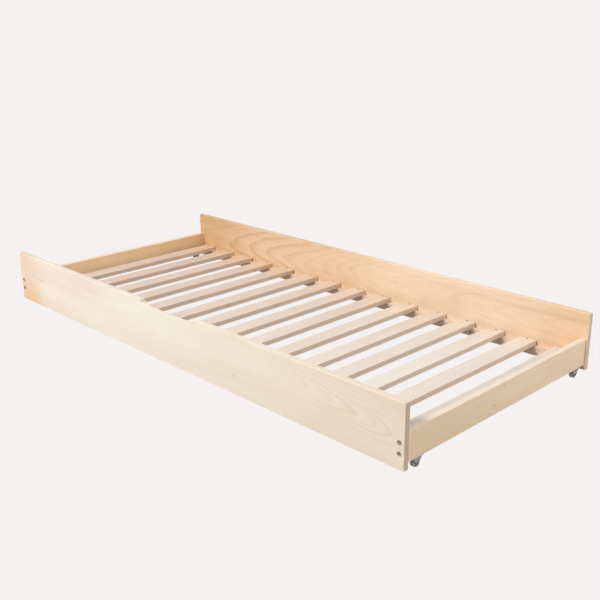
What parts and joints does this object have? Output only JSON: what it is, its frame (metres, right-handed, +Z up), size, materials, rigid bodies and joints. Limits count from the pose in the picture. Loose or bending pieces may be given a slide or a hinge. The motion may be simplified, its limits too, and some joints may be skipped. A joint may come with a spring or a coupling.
{
  "type": "trundle bed",
  "caption": "Low slatted wooden trundle bed with two tall side panels, a hand scoop in the front one, lower end rails and fixed casters underneath.",
  "frame": {"origin": "on the floor, below the middle of the bed", "axes": "+X along the bed, -Y towards the front panel with the hand scoop, +Z up"},
  "size_m": [2, 0.94, 0.208],
  "materials": {
    "panel_wood": "matt clear lacquer",
    "rail_wood": "matt clear lacquer",
    "ledger_wood": "planed, untreated",
    "slat_wood": "planed, untreated",
    "dowel_wood": "planed beech",
    "screw_steel": "zinc plated",
    "bolt_bronze": "bronze plated",
    "zinc_steel": "zinc plated",
    "bracket_steel": "grey, satin",
    "wheel_plastic": "moulded nylon",
    "tyre_rubber": "warm grey, non-marking"
  },
  "bodies": {
    "frame": {"front_panel": "panel_wood", "back_panel": "panel_wood", "left_end_rail": "rail_wood", "right_end_rail": "rail_wood", "front_ledger": "ledger_wood", "back_ledger": "ledger_wood", "slat_screws": "screw_steel", "ledger_screws": "screw_steel", "caster_screws": "screw_steel", "connector_bolts": "bolt_bronze", "rail_inserts": "zinc_steel", "corner_dowels": "dowel_wood", "slat_01": "slat_wood", "slat_02": "slat_wood", "slat_03": "slat_wood", "slat_04": "slat_wood", "slat_05": "slat_wood", "slat_06": "slat_wood", "slat_07": "slat_wood", "slat_08": "slat_wood", "slat_09": "slat_wood", "slat_10": "slat_wood", "slat_11": "slat_wood", "slat_12": "slat_wood", "slat_13": "slat_wood", "slat_14": "slat_wood", "slat_15": "slat_wood", "front_left_caster_bracket": "bracket_steel", "front_left_caster_axle": "zinc_steel", "front_right_caster_bracket": "bracket_steel", "front_right_caster_axle": "zinc_steel", "back_left_caster_bracket": "bracket_steel", "back_left_caster_axle": "zinc_steel", "back_right_caster_bracket": "bracket_steel", "back_right_caster_axle": "zinc_steel"},
    "front_left_wheel": {"front_left_wheel_core": "wheel_plastic", "front_left_tyre": "tyre_rubber"},
    "front_right_wheel": {"front_right_wheel_core": "wheel_plastic", "front_right_tyre": "tyre_rubber"},
    "back_left_wheel": {"back_left_wheel_core": "wheel_plastic", "back_left_tyre": "tyre_rubber"},
    "back_right_wheel": {"back_right_wheel_core": "wheel_plastic", "back_right_tyre": "tyre_rubber"}
  },
  "joints": [
    {"name": "front_left_wheel_spin", "type": "hinge", "parent": "frame", "child": "front_left_wheel", "pos_m": [-0.984, -0.404, 0.013], "axis": [1, 0, 0], "continuous": true},
    {"name": "front_right_wheel_spin", "type": "hinge", "parent": "frame", "child": "front_right_wheel", "pos_m": [0.984, -0.404, 0.013], "axis": [1, 0, 0], "continuous": true},
    {"name": "back_left_wheel_spin", "type": "hinge", "parent": "frame", "child": "back_left_wheel", "pos_m": [-0.984, 0.404, 0.013], "axis": [1, 0, 0], "continuous": true},
    {"name": "back_right_wheel_spin", "type": "hinge", "parent": "frame", "child": "back_right_wheel", "pos_m": [0.984, 0.404, 0.013], "axis": [1, 0, 0], "continuous": true}
  ]
}
